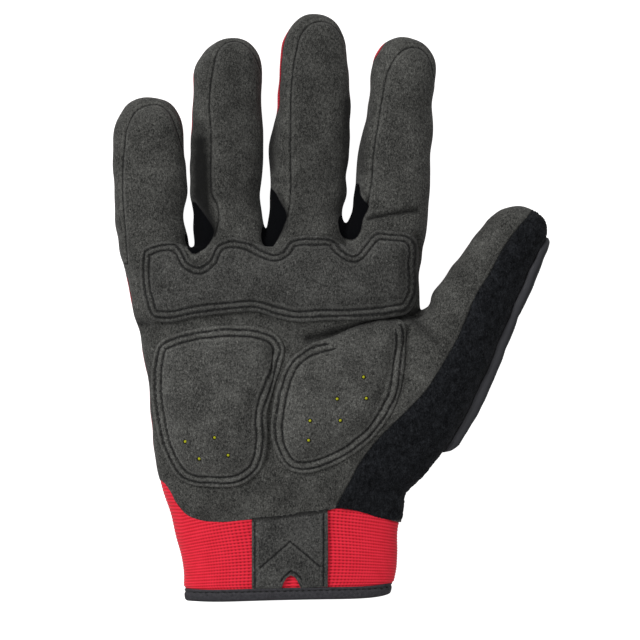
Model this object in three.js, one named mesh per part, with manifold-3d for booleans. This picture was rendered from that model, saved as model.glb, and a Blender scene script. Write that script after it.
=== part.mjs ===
// An impact glove for the right hand. It lies on its back with the palm up, filled out as if a hand were in
// it. Sizes are in millimetres. +Y points to the fingertips, +X to the thumb, +Z out of the palm, and the
// glove rests on z = 0.
import * as THREE from "three";
import { mergeVertices } from "three/addons/utils/BufferGeometryUtils.js";
import Module from "manifold-3d";

const wasm = await Module();
wasm.setup();

// Driving dimensions
const wall = 2; // cloth and its backing
const gap = 0.3; // clearance between two pieces that touch
const grip = gap / 2; // each side's share of it along a seam
const guardThick = 3.4; // moulded guards on the fingers and the thumb
const tabThick = 1.2;
const bindingThick = 1.3;
const bindingWidth = 5;
const trunkSides = 28;
const fingerSides = 14;
const hollowShare = 0.6; // how many sides the hollow has for each one of the outside
const seamStep = 8; // length of one straight stretch of a seam
const hemReach = 10; // how far the hollow and the tape run past the cuff's end before they are cut
const midHeight = 15; // between the back and the palm side
const thumbGuardTop = 22; // the thumb's guard wraps a little over onto the palm side
const tall = 60; // taller than the glove, for the vertical cutters
const beyond = 220; // further out than any piece

// Palm and cuff, a row for each section across the hand. left and right are the outline seen from the palm,
// back and palm the lowest and highest points.
const trunk = {
  shape: 2.7, // 2 is an ellipse, more is squarer
  rows: [
    { y: -126, left: -57.6, right: 24.6, back: 2.3, palm: 25.8 },
    { y: -112, left: -61.2, right: 27.4, back: 2, palm: 27.6 },
    { y: -92, left: -65, right: 28.3, back: 2.4, palm: 29 },
    { y: -84, left: -67, right: 30, back: 3, palm: 30 },
    { y: -74, left: -70.4, right: 32, back: 3.8, palm: 31.6 },
    { y: -56, left: -73.7, right: 34, back: 4.6, palm: 33.4 },
    { y: -34, left: -75.4, right: 36, back: 5, palm: 34 },
    { y: -14, left: -78.9, right: 36.6, back: 5, palm: 33.4 },
    { y: 2, left: -82.4, right: 37, back: 5, palm: 32.6 },
    { y: 14, left: -85.8, right: 37.2, back: 5.2, palm: 31.6 },
    { y: 25, left: -87.4, right: 38, back: 6, palm: 30.4 },
  ],
};

// Each finger is a tube of sections that ends in a dome, whose first rows lie inside the palm. seam is the
// line, seen from the palm, between the finger's face and the strip on its left, and over its tip. border
// parts it from the finger on its left.
const fingerShape = 2.25;
const fingers = [
  {
    name: "little",
    shape: fingerShape,
    tipX: -76.2,
    tipY: 88.4,
    rows: [
      { y: 6, left: -83, right: -58, back: 7, palm: 28 },
      { y: 18, left: -86.4, right: -58.4, back: 6, palm: 29 },
      { y: 29, left: -88.4, right: -60, back: 5.6, palm: 28.4 },
      { y: 37, left: -89.8, right: -61.1, back: 5.4, palm: 27.6 },
      { y: 50, left: -90.5, right: -60.3, back: 6, palm: 27.4 },
      { y: 72, left: -90.1, right: -61.6, back: 8, palm: 28.2 },
    ],
    seam: [[-84.7, 18.6], [-85.6, 32.8], [-86.7, 45.8], [-85.9, 66.7], [-84.2, 76.3], [-80.5, 82.6],
      [-75.5, 84.9], [-71.4, 84.9], [-67.2, 81.8], [-64.5, 76.3]],
    seamRun: 5,
    border: [[-100, 18.6], [-100, 80]],
    guard: { x: -75.6, start: 14, end: 74, width: 17 },
  },
  {
    name: "ring",
    shape: fingerShape,
    tipX: -41.4,
    tipY: 113.2,
    rows: [
      { y: 6, left: -60, right: -28, back: 7, palm: 29 },
      { y: 26, left: -56.4, right: -25.8, back: 6, palm: 30.4 },
      { y: 35, left: -57.3, right: -26.8, back: 5.5, palm: 29.8 },
      { y: 46, left: -57.8, right: -28.6, back: 5.2, palm: 28.6 },
      { y: 68, left: -58.5, right: -28.5, back: 6.2, palm: 28 },
      { y: 80, left: -57.4, right: -29, back: 7.2, palm: 28.4 },
      { y: 95.5, left: -56.7, right: -29, back: 8.6, palm: 29 },
    ],
    seam: [[-50.2, 34], [-50.2, 45.8], [-50.6, 66.7], [-51, 87.4], [-49.2, 101.2], [-47.8, 107.5],
      [-45.1, 111.3], [-41.6, 113.4]],
    seamRun: 0,
    border: [[-59.4, 34], [-59.4, 100]],
    guard: { x: -43.2, start: 26, end: 97, width: 18 },
  },
  {
    name: "middle",
    shape: fingerShape,
    tipX: -6.4,
    tipY: 122.7,
    rows: [
      { y: 6, left: -28, right: 6, back: 7, palm: 29 },
      { y: 24, left: -27.2, right: 6.6, back: 6, palm: 30.6 },
      { y: 36, left: -26.8, right: 6.8, back: 5.4, palm: 30 },
      { y: 46, left: -26.4, right: 5.6, back: 5, palm: 29 },
      { y: 58, left: -24.6, right: 6.4, back: 5.2, palm: 28.4 },
      { y: 66, left: -25.6, right: 7.8, back: 5.8, palm: 28.4 },
      { y: 90, left: -21.6, right: 7.7, back: 8, palm: 29 },
      { y: 103, left: -20.9, right: 7, back: 9.4, palm: 29.6 },
    ],
    seam: [[-18.3, 38.4], [-17.2, 44.9], [-17, 66.7], [-14.5, 108.1], [-12.5, 115.1], [-9, 119.3],
      [-4.1, 121], [0.7, 119.9], [4.8, 115.8]],
    seamRun: 5,
    border: [[-27.6, 38.4], [-27.6, 110]],
    guard: { x: -8.6, start: 30, end: 105, width: 19 },
  },
  {
    name: "index",
    shape: fingerShape,
    tipX: 30.6,
    tipY: 113,
    rows: [
      { y: 6, left: 4, right: 35.6, back: 7, palm: 29 },
      { y: 24, left: 5.4, right: 38, back: 6, palm: 30.2 },
      { y: 36, left: 6, right: 40, back: 5.5, palm: 29.6 },
      { y: 46, left: 10.4, right: 40.8, back: 5.2, palm: 28.6 },
      { y: 68, left: 12.2, right: 42, back: 6.2, palm: 28.2 },
      { y: 82, left: 15.6, right: 42.4, back: 7.2, palm: 28.4 },
      { y: 98.5, left: 17.2, right: 44, back: 8.6, palm: 29 },
    ],
    seam: [[15, 42], [17.1, 54.1], [17.8, 64.6], [20.3, 80.5], [21.9, 90.5], [24, 99.8], [26.1, 104],
      [29.3, 107.8], [33.1, 109.8], [37.6, 109.5], [40.3, 107.4], [42.4, 104.3], [42.8, 99.8]],
    seamRun: 6,
    border: [[8, 42], [9.8, 66], [12, 90]],
    guard: { x: 28.6, start: 26, end: 97, width: 18 },
  },
];

// The thumb has the same kind of rows in a frame of its own, with its tip at y = 0, that leans to the right
const thumb = {
  shape: 2.2,
  tip: new THREE.Vector3(80.8, 42.8, 0),
  lean: THREE.MathUtils.degToRad(-30),
  tipX: 4,
  tipY: 0,
  rows: [
    { y: -134, left: -34, right: 15.5, back: 11, palm: 23 },
    { y: -126, left: -34, right: 18.2, back: 7, palm: 28 },
    { y: -117, left: -34, right: 20.4, back: 5.8, palm: 30.6 },
    { y: -92, left: -27, right: 21.8, back: 5.4, palm: 32.4 },
    { y: -78, left: -21, right: 20.6, back: 5.1, palm: 32 },
    { y: -62, left: -15.4, right: 19.4, back: 4.8, palm: 31 },
    { y: -51, left: -14.6, right: 18.4, back: 5, palm: 29.8 },
    { y: -28, left: -12.2, right: 16, back: 5.8, palm: 27.8 },
    { y: -14.5, left: -10.4, right: 15, back: 6.6, palm: 26.8 },
  ],
  guard: { x: 15, start: -100, end: -8, width: 22 },
};
const domeShape = 2.2;
const domeSteps = [0.4, 0.7, 0.9]; // shares of the dome's length

// Outlines seen from the palm, as [x, y] that a smooth closed curve runs through
const pads = {
  knuckle_pad: [
    [-77.4, 25.4], [-63.4, 26], [-57.4, 18.6], [-53, 17.2], [-48.8, 20.4], [-43.4, 27], [-36.6, 27.8],
    [-27, 23.4], [-20.6, 23.4], [-14, 29], [-2.4, 29.6], [5.4, 24.4], [11.2, 22.4], [15.4, 25.4],
    [20.6, 30.2], [34, 29.8], [36, 18], [33, 0.6], [26, -2.2], [-5, -4.6], [-18, -4.2], [-26.6, 0.4],
    [-44, 0.4], [-64, -3.2], [-74.2, -2.6], [-78.4, 8], [-79.4, 19.4],
  ],
  hypothenar_pad: [
    [-74.2, -24], [-71.6, -14.4], [-55.6, -9.8], [-36, -8.2], [-24.4, -12.2], [-21.6, -19.6], [-25.8, -34],
    [-28.4, -50], [-28.6, -63.4], [-34.6, -69.6], [-48, -72.4], [-60.4, -70.2], [-68.4, -59.8],
    [-73.2, -43.2],
  ],
  thenar_pad: [
    [-21.8, -42], [-18.8, -27.6], [-9.2, -15.6], [8, -7.8], [24.6, -5], [30.4, -8], [29.6, -18],
    [27.6, -34.4], [19.4, -50.2], [5.4, -61], [-9.4, -66], [-18.2, -65.4], [-21.4, -57],
  ],
};
const webs = {
  finger_web_1: [[-59, 40], [-57, 44.4], [-53.4, 39.6], [-48.4, 32.6], [-51.5, 25], [-57, 23], [-59, 25]],
  finger_web_2: [[-27.6, 44], [-26.2, 52], [-21.8, 46], [-17.8, 38.6], [-19.4, 32.4], [-22.9, 26.5],
    [-26.1, 25.7], [-28.2, 28.6], [-27.8, 34]],
  finger_web_3: [[3.6, 37.4], [3.8, 32], [8.2, 28.6], [11.7, 32], [13.4, 36.6], [16.1, 42.4], [12, 50],
    [10.6, 54.6], [8.4, 48], [6.4, 41.5]],
};
const tabOutline = [[-33.2, -89.6], [0.2, -85.4], [-0.6, -114.6], [-13, -114.9], [-14.6, -111.4],
  [-17.2, -109.2], [-19.8, -111.8], [-21.4, -115.4], [-33.2, -115.8]];
const knuckleGuardOutline = [[-70, 8], [-40, 14], [-10, 15], [20, 10], [26, -8], [12, -34], [-22, -44],
  [-54, -34], [-72, -10]];

// The seam between palm and cuff, from the left side to the right, and the seam down the thumb
const cuffSeam = [[-95, -58], [-73, -70.5], [-66.6, -79], [-61, -86], [-54, -90], [-47, -90.6], [-33, -88.4],
  [-0.2, -83.8], [6, -82.9], [16.6, -85.2], [29, -88.8], [60, -97], [100, -100]];
const terrySeam = [[88, 60], [80.4, 42.4], [67.4, 24], [57.4, 5.8], [46.6, -16], [36, -35], [28, -47],
  [17, -66], [6, -83]];
const hemLine = [[-120, -122.8], [120, -117.4]];

// Heights of the seam between the back and the palm side, as [y, z] along the glove
const backSeam = [[-130, 15.5], [-60, 19.4], [0, 19.6], [40, 17], [80, 17.4], [130, 20]];

// Section of a pad, from its edge to its crown
const padSection = [
  { inset: 0, rise: 1.1 },
  { inset: 1.4, rise: 1.5 },
  { inset: 4.2, rise: 2.4 },
  { inset: 7, rise: 4 },
];
const padSteps = { knuckle_pad: 46, hypothenar_pad: 26, thenar_pad: 26 };

const finishes = {
  suede: { color: "#4a4a48", roughness: 0.95, metalness: 0 },
  back: { color: "#d8263c", roughness: 0.85, metalness: 0 },
  web: { color: "#0b0c0f", roughness: 0.9, metalness: 0 },
  terry: { color: "#15171a", roughness: 1, metalness: 0 },
  cuff: { color: "#d92c41", roughness: 0.85, metalness: 0 },
  binding: { color: "#333236", roughness: 0.7, metalness: 0 },
  rubber: { color: "#26272b", roughness: 0.5, metalness: 0 },
};

// A closed mesh as a solid
function solidOf(geometry) {
  geometry.deleteAttribute("normal");
  geometry.deleteAttribute("uv");
  const merged = mergeVertices(geometry, 1e-4);
  return new wasm.Manifold(
    new wasm.Mesh({
      numProp: 3,
      vertProperties: new Float32Array(merged.attributes.position.array),
      triVerts: new Uint32Array(merged.index.array),
    }),
  );
}

function geometryOf(solid) {
  const mesh = solid.getMesh();
  const geometry = new THREE.BufferGeometry();
  geometry.setAttribute("position", new THREE.BufferAttribute(mesh.vertProperties, 3));
  geometry.setIndex(new THREE.BufferAttribute(mesh.triVerts, 1));
  geometry.computeVertexNormals();
  return geometry;
}

// One section, grown outwards on every side
function ringOf(row, grow) {
  return {
    y: row.y,
    x: (row.left + row.right) / 2,
    z: (row.back + row.palm) / 2,
    halfX: (row.right - row.left) / 2 + grow,
    halfZ: (row.palm - row.back) / 2 + grow,
  };
}

// The rings that close a finger in a dome, from its last section to its tip
function domeRings(part, grow) {
  const last = ringOf(part.rows.at(-1), grow);
  const reach = part.tipY + grow - last.y;
  return domeSteps.map((share) => {
    const width = (1 - share ** domeShape) ** (1 / domeShape);
    return {
      y: last.y + share * reach,
      x: last.x + (part.tipX - last.x) * share ** 2,
      z: last.z,
      halfX: last.halfX * width,
      halfZ: last.halfZ * width,
    };
  });
}

function rounded(value, shape) {
  return Math.sign(value) * Math.abs(value) ** (2 / shape);
}

// A tube through rounded sections, closed by a flat start and by a point or a flat end
function loft(rings, sides, shape, apex) {
  const points = [];
  for (const ring of rings)
    for (let i = 0; i < sides; i++) {
      const turn = (2 * Math.PI * i) / sides;
      points.push(
        ring.x + ring.halfX * rounded(Math.cos(turn), shape),
        ring.y,
        ring.z + ring.halfZ * rounded(Math.sin(turn), shape),
      );
    }
  const first = rings[0];
  points.push(first.x, first.y, first.z, ...apex);
  const startCentre = rings.length * sides;
  const endCentre = startCentre + 1;
  const faces = [];
  for (let i = 0; i < sides; i++) {
    const next = (i + 1) % sides;
    faces.push(startCentre, i, next);
    for (let r = 0; r + 1 < rings.length; r++) {
      const a = r * sides + i;
      const b = r * sides + next;
      faces.push(a, a + sides, b, b, a + sides, b + sides);
    }
    const top = (rings.length - 1) * sides;
    faces.push(endCentre, top + next, top + i);
  }
  const geometry = new THREE.BufferGeometry();
  geometry.setAttribute("position", new THREE.Float32BufferAttribute(points, 3));
  geometry.setIndex(faces);
  return geometry;
}

// Palm and cuff as one solid, with the cuff's end moved out by reach
function trunkSolid(grow, sides, reach) {
  const rings = trunk.rows.map((row) => ringOf(row, grow));
  rings[0].y -= reach;
  rings.at(-1).y += grow;
  const last = rings.at(-1);
  return solidOf(loft(rings, sides, trunk.shape, [last.x, last.y, last.z]));
}

function fingerLoft(part, grow, sides) {
  const rings = [...part.rows.map((row) => ringOf(row, grow)), ...domeRings(part, grow)];
  return loft(rings, sides, part.shape, [part.tipX, part.tipY + grow, rings.at(-1).z]);
}

// From the thumb's frame to the glove's
const thumbPlace = new THREE.Matrix4().makeRotationZ(thumb.lean).setPosition(thumb.tip);

function thumbSolid(grow, sides) {
  return solidOf(fingerLoft(thumb, grow, sides).applyMatrix4(thumbPlace));
}

// The whole hand: grow 0 is the outside of the cloth, -wall the hollow
function handForm(grow, coarse = 1, reach = 0) {
  const fingerCount = Math.round(fingerSides * coarse);
  let form = trunkSolid(grow, Math.round(trunkSides * coarse), reach);
  for (const finger of fingers) form = form.add(solidOf(fingerLoft(finger, grow, fingerCount)));
  return form.add(thumbSolid(grow, fingerCount));
}

function vectors(points) {
  return points.map(([x, y]) => new THREE.Vector2(x, y));
}

// A closed smooth outline through a few points
function smoothOutline(points, steps) {
  const curve = new THREE.CatmullRomCurve3(points.map(([x, y]) => new THREE.Vector3(x, y, 0)), true);
  return curve.getSpacedPoints(steps).slice(0, -1).map((p) => new THREE.Vector2(p.x, p.y));
}

// An outline moved outwards, or inwards where distance is negative
function movedOutline(outline, distance) {
  const side = THREE.ShapeUtils.isClockWise(outline) ? -1 : 1;
  return outline.map((point, i) => {
    const along = outline[(i + 1) % outline.length].clone().sub(outline.at(i - 1)).normalize();
    return new THREE.Vector2(point.x + along.y * distance * side, point.y - along.x * distance * side);
  });
}

// A vertical cutter over an outline
function prism(outline, low = -tall, high = tall) {
  const geometry = new THREE.ExtrudeGeometry(new THREE.Shape(outline), {
    depth: high - low,
    bevelEnabled: false,
  });
  return solidOf(geometry.translate(0, 0, low));
}

// The straight stretches of a smooth seam
function seamLine(seam) {
  const curve = new THREE.SplineCurve(vectors(seam));
  return curve.getSpacedPoints(Math.ceil(curve.getLength() / seamStep));
}

// A cutter over all that lies on the side of a seam that away points to. clear is how far it keeps off it.
function besideSeam(seam, away, clear) {
  const line = seamLine(seam).map((point) => point.addScaledVector(away, clear));
  return prism([...line, line.at(-1).clone().addScaledVector(away, beyond),
    line[0].clone().addScaledVector(away, beyond)]);
}

// Everything above the back seam, or everything below it
function besideBackSeam(above) {
  const far = above ? tall : -tall;
  const line = backSeam.map(([y, z]) => new THREE.Vector2(y, z + (above ? grip : -grip)));
  const outline = [...line, new THREE.Vector2(line.at(-1).x, far), new THREE.Vector2(line[0].x, far)];
  const geometry = new THREE.ExtrudeGeometry(new THREE.Shape(outline), {
    depth: 2 * beyond,
    bevelEnabled: false,
  });
  const turned = new THREE.Matrix4().makeBasis(
    new THREE.Vector3(0, 1, 0),
    new THREE.Vector3(0, 0, 1),
    new THREE.Vector3(1, 0, 0),
  );
  return solidOf(geometry.translate(0, 0, -beyond).applyMatrix4(turned));
}

// A cutter over all that lies between two distances from the hem's end, towards the fingers
function hemZone(from, to) {
  const [left, right] = vectors(hemLine);
  return prism([
    new THREE.Vector2(left.x, left.y + from),
    new THREE.Vector2(right.x, right.y + from),
    new THREE.Vector2(right.x, right.y + to),
    new THREE.Vector2(left.x, left.y + to),
  ]);
}

// What lies between a finger's seam, the finger on its left and the tip
function bandOutline(finger) {
  const line = seamLine(finger.seam);
  const far = finger.tipY + guardThick;
  const out = line.at(-1).x + finger.seamRun;
  const border = vectors(finger.border).reverse();
  const top = [new THREE.Vector2(out, far), new THREE.Vector2(border[0].x, far)];
  if (finger.seamRun > 0) top.unshift(new THREE.Vector2(out, line.at(-1).y));
  return [...line, ...top, ...border];
}

// Height of the palm side over the palm and the four fingers
function palmHeight(x, y) {
  let height = 0;
  for (const { rows, shape } of [trunk, ...fingers]) {
    const after = rows.findIndex((row) => row.y >= y);
    if (after < 1) continue;
    const a = ringOf(rows[after - 1], 0);
    const b = ringOf(rows[after], 0);
    const share = (y - a.y) / (b.y - a.y);
    const at = (key) => a[key] + (b[key] - a[key]) * share;
    const across = Math.abs((x - at("x")) / at("halfX"));
    if (across < 1) height = Math.max(height, at("z") + at("halfZ") * (1 - across ** shape) ** (1 / shape));
  }
  return height;
}

// A stuffed pad: rings of points from its edge to its crown, over a base that lies inside the hand
function padSolid(outline) {
  const sink = 3;
  const rings = padSection.map(({ inset }) => movedOutline(outline, -inset));
  const count = outline.length;
  const points = [];
  for (const p of outline) points.push(p.x, p.y, palmHeight(p.x, p.y) - sink);
  rings.forEach((ring, r) => {
    for (const p of ring) points.push(p.x, p.y, palmHeight(p.x, p.y) + padSection[r].rise);
  });
  const faces = [];
  const turned = THREE.ShapeUtils.isClockWise(outline);
  const face = (a, b, c) => faces.push(a, turned ? c : b, turned ? b : c);
  for (let r = 0; r < rings.length; r++)
    for (let i = 0; i < count; i++) {
      const a = r * count + i;
      const b = r * count + ((i + 1) % count);
      face(a, b, a + count);
      face(b, b + count, a + count);
    }
  const crown = rings.length * count;
  for (const [a, b, c] of THREE.ShapeUtils.triangulateShape(outline, [])) {
    faces.push(crown + a, crown + b, crown + c);
    faces.push(c, b, a);
  }
  const geometry = new THREE.BufferGeometry();
  geometry.setAttribute("position", new THREE.Float32BufferAttribute(points, 3));
  geometry.setIndex(faces);
  return solidOf(geometry).subtract(clearance);
}

// A long plate with round ends
function stadium({ x, start, end, width }) {
  const shape = new THREE.Shape();
  const radius = width / 2;
  shape.absarc(x, end - radius, radius, 0, Math.PI);
  shape.absarc(x, start + radius, radius, Math.PI, 2 * Math.PI);
  return shape.extractPoints(4).shape.slice(0, -1);
}

function add(name, solid, finish) {
  const mesh = new THREE.Mesh(geometryOf(solid), new THREE.MeshStandardMaterial(finish));
  mesh.name = name;
  group.add(mesh);
}

const group = new THREE.Group();
const outside = handForm(0);
const clearance = handForm(gap);
const hollow = handForm(-wall, hollowShare, hemReach);
const cloth = outside.subtract(hollow).intersect(hemZone(0, 2 * beyond));

const armSide = new THREE.Vector2(0, -1);
const thumbSide = new THREE.Vector2(1, 0);
const palmSide = cloth.intersect(besideBackSeam(true));
const backSide = cloth.intersect(besideBackSeam(false));
const overHand = besideSeam(cuffSeam, armSide.clone().negate(), grip);
const overTerry = besideSeam(terrySeam, thumbSide, -grip);

// Finger strips and crotch gussets, then the palm, which is what they leave
let palm = palmSide.intersect(overHand).subtract(overTerry);
for (const [name, points] of Object.entries(webs)) {
  const outline = vectors(points);
  add(name, palmSide.intersect(prism(movedOutline(outline, -grip))), finishes.web);
  palm = palm.subtract(prism(movedOutline(outline, grip)));
}
const webCutters = Object.values(webs).map((points) => prism(movedOutline(vectors(points), grip)));
for (const finger of fingers) {
  const outline = bandOutline(finger);
  let band = palmSide.intersect(prism(movedOutline(outline, -grip)));
  for (const cutter of webCutters) band = band.subtract(cutter);
  add(`finger_band_${finger.name}`, band, finishes.suede);
  palm = palm.subtract(prism(movedOutline(outline, grip)));
}
add("palm_panel", palm, finishes.suede);
add("back_panel", backSide.intersect(overHand).subtract(overTerry), finishes.back);
const wipe = cloth.intersect(overHand).intersect(besideSeam(terrySeam, thumbSide, grip));
add("thumb_terry", wipe, finishes.terry);
add("cuff", cloth.intersect(besideSeam(cuffSeam, armSide, grip)), finishes.cuff);

for (const [name, points] of Object.entries(pads))
  add(name, padSolid(smoothOutline(points, padSteps[name])), finishes.suede);

// Pull tab on the cuff, and the tape folded over the cuff's end
const tab = handForm(gap + tabThick).subtract(clearance).intersect(prism(vectors(tabOutline), midHeight));
add("cuff_tab", tab, finishes.suede);
const tapeZone = hemZone(-bindingThick, bindingWidth);
const tapeForm = trunkSolid(gap + bindingThick, trunkSides, hemReach).intersect(tapeZone);
const tapeRoom = trunkSolid(gap, trunkSides, hemReach).intersect(hemZone(-gap, beyond));
const tapeMouth = trunkSolid(-wall, trunkSides, hemReach);
add("hem_binding", tapeForm.subtract(tapeRoom).subtract(tapeMouth), finishes.binding);

// Guards underneath: the one over the knuckles is flat below, where the glove rests
const guardForm = handForm(gap + guardThick).subtract(clearance);
for (const finger of fingers)
  add(
    `finger_guard_${finger.name}`,
    guardForm.intersect(prism(stadium(finger.guard), -tall, midHeight)),
    finishes.rubber,
  );
const thumbPlate = prism(stadium(thumb.guard), -tall, thumbGuardTop);
const thumbGuard = solidOf(geometryOf(thumbPlate).applyMatrix4(thumbPlace));
add("thumb_guard", guardForm.intersect(thumbGuard), finishes.rubber);
const knucklePlate = prism(smoothOutline(knuckleGuardOutline, 32), 0, midHeight);
add("knuckle_guard", knucklePlate.subtract(clearance), finishes.rubber);

export default group;
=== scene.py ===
import math
import time

import bpy
import numpy as np
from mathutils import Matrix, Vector
from mathutils.bvhtree import BVHTree
from mathutils.kdtree import KDTree


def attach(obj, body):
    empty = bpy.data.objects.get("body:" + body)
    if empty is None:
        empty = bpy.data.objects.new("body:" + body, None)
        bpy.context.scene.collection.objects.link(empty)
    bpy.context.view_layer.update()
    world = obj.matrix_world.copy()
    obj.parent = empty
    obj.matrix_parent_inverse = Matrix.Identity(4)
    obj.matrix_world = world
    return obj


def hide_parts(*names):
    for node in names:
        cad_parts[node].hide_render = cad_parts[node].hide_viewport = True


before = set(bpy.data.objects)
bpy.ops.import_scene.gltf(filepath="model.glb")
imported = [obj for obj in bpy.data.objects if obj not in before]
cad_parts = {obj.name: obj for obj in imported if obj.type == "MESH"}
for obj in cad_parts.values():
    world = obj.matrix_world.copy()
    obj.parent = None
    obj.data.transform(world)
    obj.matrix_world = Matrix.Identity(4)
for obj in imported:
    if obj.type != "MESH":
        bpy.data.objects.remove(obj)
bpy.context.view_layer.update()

# An impact glove for the right hand, lying on its back with the palm up. The tables are in
# millimetres, in the frame of the solids: +Y to the fingertips, +X to the thumb, +Z out of the palm.
mm = 0.001
started = time.time()


def report(stage):
    print(f"{stage}, {time.time() - started:.1f} s")


# Selection, copies and modifiers

def pick(*pieces):
    if bpy.context.object and bpy.context.object.mode != "OBJECT":
        bpy.ops.object.mode_set(mode="OBJECT")
    bpy.ops.object.select_all(action="DESELECT")
    for piece in pieces:
        piece.select_set(True)
    if pieces:
        bpy.context.view_layer.objects.active = pieces[0]


def named(name):
    piece = bpy.context.object
    piece.name = name
    piece.data.name = name
    return piece


def copyOf(piece, name):
    pick(piece)
    bpy.ops.object.duplicate(linked=False)
    return named(name)


def remove(*pieces):
    pick(*pieces)
    bpy.ops.object.delete()


def finished(piece, kind, **settings):
    pick(piece)
    work = piece.modifiers.new(kind.title(), kind)
    for key, value in settings.items():
        setattr(work, key, value)
    bpy.ops.object.modifier_apply(modifier=work.name)
    return piece


def cut(piece, cutter, how):
    return finished(piece, "BOOLEAN", object=cutter, operation=how, solver="MANIFOLD")


def readOut(items, name, size=3, kind=float):
    values = np.empty(len(items) * size, dtype=kind)
    items.foreach_get(name, values)
    return values.reshape(-1, size)


def pointsOf(piece):
    return readOut(piece.data.vertices, "co") / mm


def normalsOf(piece):
    return readOut(piece.data.vertices, "normal")


def faceNormals(piece):
    return readOut(piece.data.polygons, "normal")


def faceCentres(piece):
    return readOut(piece.data.polygons, "center") / mm


def cutFaces(piece):
    return readOut(piece.data.polygons, "material_index", 1, np.int32)[:, 0] == 1


def edgeEnds(piece):
    return readOut(piece.data.edges, "vertices", 2, np.int32)


def movePoints(piece, points):
    piece.data.vertices.foreach_set("co", (np.asarray(points) * mm).ravel())
    piece.data.update()


# Points moved along their normals
def pushOut(piece, distance):
    movePoints(piece, pointsOf(piece) + normalsOf(piece) * np.reshape(distance, (-1, 1)))


def numberFaces(piece, number):
    numbers = np.full(len(piece.data.polygons), number, dtype=np.int32)
    piece.data.polygons.foreach_set("material_index", numbers)


# Steps in edit mode, each with everything selected
def inEdit(piece, *steps):
    pick(piece)
    bpy.ops.object.mode_set(mode="EDIT")
    for step, settings in steps:
        bpy.ops.mesh.select_all(action="SELECT")
        step(**settings)
    bpy.ops.object.mode_set(mode="OBJECT")


facesOut = (bpy.ops.mesh.normals_make_consistent, {"inside": False})
weldDistance = 0.01 * mm
sliverLength = 0.09 * mm


def welded(piece, distance, *steps):
    bpy.context.tool_settings.mesh_select_mode = (True, False, False)
    inEdit(piece, (bpy.ops.mesh.remove_doubles, {"threshold": distance}), *steps)
    return piece


# Merged seam, closed ends and faces pointing out
def closeUp(piece):
    return welded(piece, weldDistance, (bpy.ops.mesh.fill_holes, {"sides": 0}), facesOut)


# The thin triangles that a cut leaves along a seam
def mergeSlivers(piece):
    welded(piece, sliverLength, (bpy.ops.mesh.dissolve_degenerate, {"threshold": sliverLength}))


# A sheet drawn out along z to a solid
def drawnOut(piece, distance):
    move = {"TRANSFORM_OT_translate": {"value": (0, 0, distance * mm)}}
    inEdit(piece, (bpy.ops.mesh.extrude_region_move, move), facesOut)
    return piece


def dropFaces(piece, mask):
    if not np.any(mask):
        return
    pick(piece)
    bpy.context.tool_settings.mesh_select_mode = (False, False, True)
    bpy.ops.object.mode_set(mode="EDIT")
    bpy.ops.mesh.select_all(action="DESELECT")
    bpy.ops.object.mode_set(mode="OBJECT")
    piece.data.polygons.foreach_set("select", np.asarray(mask, dtype=bool))
    bpy.ops.object.mode_set(mode="EDIT")
    bpy.ops.mesh.delete(type="FACE")
    bpy.ops.object.mode_set(mode="OBJECT")


# Loose crumbs that a cut leaves
def dropCrumbs(piece, fewest=60):
    edges = edgeEnds(piece)
    label = np.arange(len(piece.data.vertices))
    while True:
        low = np.minimum(label[edges[:, 0]], label[edges[:, 1]])
        new = label.copy()
        np.minimum.at(new, edges[:, 0], low)
        np.minimum.at(new, edges[:, 1], low)
        new = new[new]
        if np.array_equal(new, label):
            break
        label = new
    small = np.bincount(label, minlength=len(label))[label] < fewest
    if small.any():
        dropFaces(piece, small[np.array([face.vertices[0] for face in piece.data.polygons])])


def shadedSmooth(piece, angle=50):
    pick(piece)
    bpy.ops.object.shade_smooth_by_angle(angle=math.radians(angle))


# Curves

def smoothColumns(rows, at):
    rows = np.array(rows, dtype=float)
    place = rows[:, 0]
    values = rows[:, 1:]
    slopes = np.gradient(values, place, axis=0)
    low = np.clip(np.searchsorted(place, at) - 1, 0, len(place) - 2)
    span = (place[low + 1] - place[low])[:, None]
    share = np.clip((at - place[low])[:, None] / span, 0, 1)
    rest = 1 - share
    return (
        (1 + 2 * share) * rest**2 * values[low]
        + share * rest**2 * span * slopes[low]
        + share**2 * (3 - 2 * share) * values[low + 1]
        - share**2 * rest * span * slopes[low + 1]
    )


def wayAlong(points):
    return np.concatenate([[0], np.cumsum(np.linalg.norm(np.diff(points, axis=0), axis=1))])


# A smooth curve through a few points, in steps of about the given length
def smoothCurve(points, step, closed=False):
    points = np.array(points, dtype=float)
    if closed:
        points = np.vstack([points[-2:], points, points[:3]])
    reach = wayAlong(points)
    start, end = (reach[2], reach[-3]) if closed else (0, reach[-1])
    fine = np.linspace(start, end, max(8, int((end - start) / step * 4)))
    dense = smoothColumns(np.column_stack([reach, points]), fine)
    along = wayAlong(dense)
    count = max(4, round(along[-1] / step))
    even = np.linspace(0, along[-1], count + 1)
    curve = np.column_stack([np.interp(even, along, dense[:, k]) for k in range(dense.shape[1])])
    return curve[:-1] if closed else curve


# Distance seen from above
def lineDistance(points, line, closed=False):
    points = np.asarray(points)[:, :2]
    line = np.asarray(line, dtype=float)
    ends = np.roll(line, -1, axis=0) if closed else line[1:]
    starts = line if closed else line[:-1]
    nearest = np.full(len(points), 1e9)
    for a, b in zip(starts, ends):
        run = b - a
        share = np.clip(((points - a) @ run) / max(run @ run, 1e-12), 0, 1)
        nearest = np.minimum(nearest, np.linalg.norm(points - a - share[:, None] * run, axis=1))
    return nearest


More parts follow.
